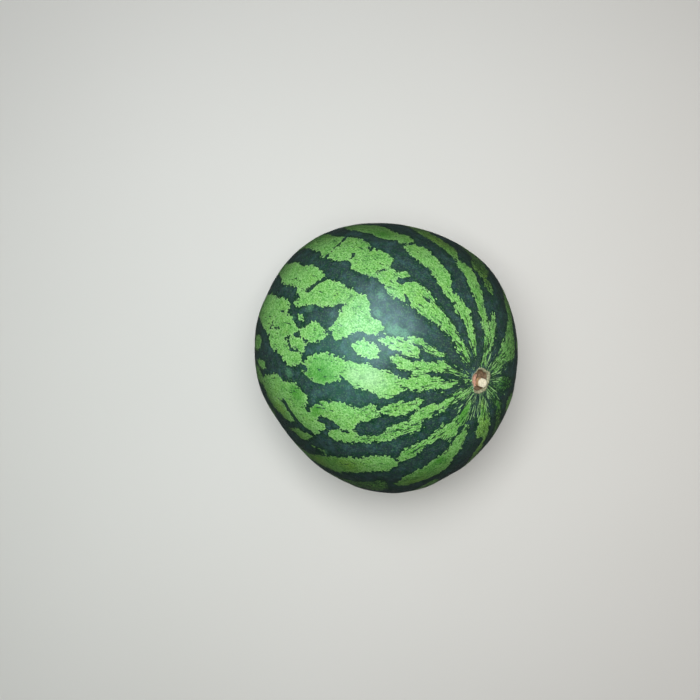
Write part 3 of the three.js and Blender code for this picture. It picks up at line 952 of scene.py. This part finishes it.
class MELON_OT_stub(bpy.types.Operator):
    """Make the short dry rest of the stem in its scar"""

    bl_idname = "melon.stub"
    bl_label = "Make the stem's stub"

    sectors = 160

    def outline(self, form):
        """Radius and height from the middle of the foot to the middle of the cut end: a flat foot, a
        side that narrows by a power of its height, and a quarter of an oval for the cut end."""
        shoulder = form.stub_length - form.stub_sunk - form.stub_dome
        foot = np.linspace(0, 1, 12)[:, None] * (form.stub_foot, 0) + (0, -form.stub_sunk)
        share = np.linspace(0, 1, 46)[1:]
        waist = form.stub_foot + (form.stub_neck - form.stub_foot) * share ** 0.6
        side = np.stack((waist, -form.stub_sunk + (shoulder + form.stub_sunk) * share), axis=-1)
        turn = np.linspace(0, math.pi / 2, 34)[1:]
        crown_radius = form.stub_neck * np.cos(turn) ** 0.75
        crown = np.stack((crown_radius, shoulder + form.stub_dome * np.sin(turn)), axis=-1)
        outline = np.concatenate((foot, side, crown))
        outline[-1, 0] = 0.0
        return outline

    def execute(self, context):
        form = context.scene.melon_form
        axis, uphill, across = stem_frame(form)
        top = form.stub_length - form.stub_sunk
        turns = full_turn(self.sectors)
        radius, height = (column[:, None] * np.ones(self.sectors) for column in self.outline(form).T)
        # six blunt ridges on a slightly oval stem, and a broken, pitted end
        up_share = smooth_step(height, 0, top - form.stub_dome)
        ridges = 1 + up_share * (0.05 * np.cos(6 * turns + 0.4) + 0.04 * np.cos(2 * turns - 0.8))
        flat = radius[..., None] * np.stack((np.cos(turns), np.sin(turns)), axis=-1) * ridges[..., None]
        spot = np.concatenate((flat, height[..., None]), axis=-1)
        inner = 1 - smooth_step(radius, 0.75 * form.stub_neck, form.stub_neck)
        pit_depth, pit_width = 0.55 * MM, 1.6 * MM
        broken = unevenness(spot, (1.7, 0.14, 61), (0.8, 0.06, 62))
        height = height + up_share * (broken - pit_depth * bell(radius, pit_width) * inner)
        swollen = 1 + 0.03 * up_share * waves(spot, 2.6 * MM, 63)
        east, north = np.moveaxis(flat * swollen[..., None], -1, 0)
        foot = (form.mean_radius - form.basin_depth - form.scar_depth) * axis
        foot = foot - form.stub_downhill * uphill - form.stub_aside * across + (0, 0, centre_height(form))
        points = foot + height[..., None] * axis + east[..., None] * uphill - north[..., None] * across
        mesh = closed_mesh("watermelon_stem_stub", points)
        add_values(mesh, cut_end=smooth_step(height, 0.2 * top, 0.95 * top))
        stub = place_in_scene(context, mesh, stub_material(context.scene.melon_colours))
        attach(stub, "root")
        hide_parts("stem_stub")
        return {"FINISHED"}


def area_light(context, name, place, size, watts, tint=(1.0, 1.0, 1.0)):
    """A square soft light at a place, facing the middle of the fruit."""
    light = bpy.data.lights.new(name, "AREA")
    light.shape = "SQUARE"
    light.size = size
    light.energy = watts
    light.color = tint
    lamp = bpy.data.objects.new(name, light)
    lamp.location = place
    fruit_middle = Vector((0, 0, 0.13))
    lamp.rotation_euler = (fruit_middle - Vector(place)).to_track_quat("-Z", "Y").to_euler()
    context.scene.collection.objects.link(lamp)
    return lamp


class MELON_OT_stage(bpy.types.Operator):
    """Make the pale floor, the soft lights and the camera that looks down on the fruit"""

    bl_idname = "melon.stage"
    bl_label = "Make the stage"

    floor_reach = 3.0
    camera_x, camera_y = -0.0110, -0.0425
    camera_aim = (-0.0404, -0.0010, 0.0)
    picture_right = math.radians(19.0)

    def make_floor(self, context):
        reach = self.floor_reach
        corners = [(-reach, -reach, 0), (reach, -reach, 0), (reach, reach, 0), (-reach, reach, 0)]
        mesh = bpy.data.meshes.new("floor")
        mesh.from_pydata(corners, [], [(0, 1, 2, 3)])
        floor = place_in_scene(context, mesh, floor_material())
        floor.visible_glossy = False

    def make_lights(self, context):
        """An overhead light, two cool panels that only show in the gloss, and a warm one at the side."""
        stage = context.scene.melon_stage
        key = area_light(context, "key", (-0.1, 0.03, 1.25), 0.6, stage.key_power)
        key.visible_glossy = False
        for name, place, size, watts, tint in (
            ("sheen", (-0.27, 0.26, 1.2), 1.1, stage.sheen_power, (0.6, 0.9, 1.0)),
            ("haze", (-0.55, -0.45, 1.05), 1.0, stage.haze_power, (0.3, 0.9, 0.7)),
        ):
            area_light(context, name, place, size, watts, tint).visible_diffuse = False
        area_light(context, "fill", (0.62, 0.25, 0.5), 0.8, stage.fill_power, (1.0, 0.84, 0.7))
        world = bpy.data.worlds.new("soft sky")
        world.use_nodes = True
        backdrop = world.node_tree.nodes["Background"]
        backdrop.inputs["Color"].default_value = (0.95, 0.98, 1.0, 1.0)
        backdrop.inputs["Strength"].default_value = stage.sky
        context.scene.world = world
        context.scene.view_settings.view_transform = "Standard"

    def make_camera(self, context):
        """Nearly straight above, off the fruit's middle by 11 mm towards -X and 43 mm towards -Y."""
        stage = context.scene.melon_stage
        data = bpy.data.cameras.new("camera")
        data.lens = stage.lens
        data.sensor_width = 36.0
        camera = bpy.data.objects.new("camera", data)
        place = Vector((self.camera_x, self.camera_y, stage.camera_height))
        back = (place - Vector(self.camera_aim)).normalized()
        right = Vector((math.cos(self.picture_right), math.sin(self.picture_right), 0.0))
        right = (right - right.dot(back) * back).normalized()
        turn = Matrix((right, back.cross(right), back)).transposed().to_4x4()
        camera.matrix_world = Matrix.Translation(place) @ turn
        context.scene.collection.objects.link(camera)
        context.scene.camera = camera

    def execute(self, context):
        self.make_floor(context)
        self.make_lights(context)
        self.make_camera(context)
        return {"FINISHED"}


class MELON_PT_panel(bpy.types.Panel):
    """Lists the melon's sizes, colours and makers in the sidebar"""

    bl_label = "Watermelon"
    bl_idname = "MELON_PT_panel"
    bl_space_type = "VIEW_3D"
    bl_region_type = "UI"
    bl_category = "Watermelon"

    def draw(self, context):
        for owner in GROUPS:
            group = getattr(context.scene, owner)
            box = self.layout.box()
            for name in group.bl_rna.properties.keys():
                if name not in ("rna_type", "name"):
                    box.prop(group, name)
        for maker in OPERATORS:
            self.layout.operator(maker.bl_idname)


GROUPS = {"melon_form": MelonForm, "melon_colours": MelonColours, "melon_stage": MelonStage}
OPERATORS = (MELON_OT_stage, MELON_OT_rind, MELON_OT_stub)
CLASSES = (*GROUPS.values(), *OPERATORS, MELON_PT_panel)


def register():
    for made in CLASSES:
        bpy.utils.register_class(made)
    for name, group in GROUPS.items():
        setattr(bpy.types.Scene, name, PointerProperty(type=group))


def unregister():
    for name in GROUPS:
        delattr(bpy.types.Scene, name)
    for made in reversed(CLASSES):
        bpy.utils.unregister_class(made)


def main():
    register()
    bpy.ops.melon.stage()
    bpy.ops.melon.rind()
    bpy.ops.melon.stub()


if __name__ == "__main__":
    main()
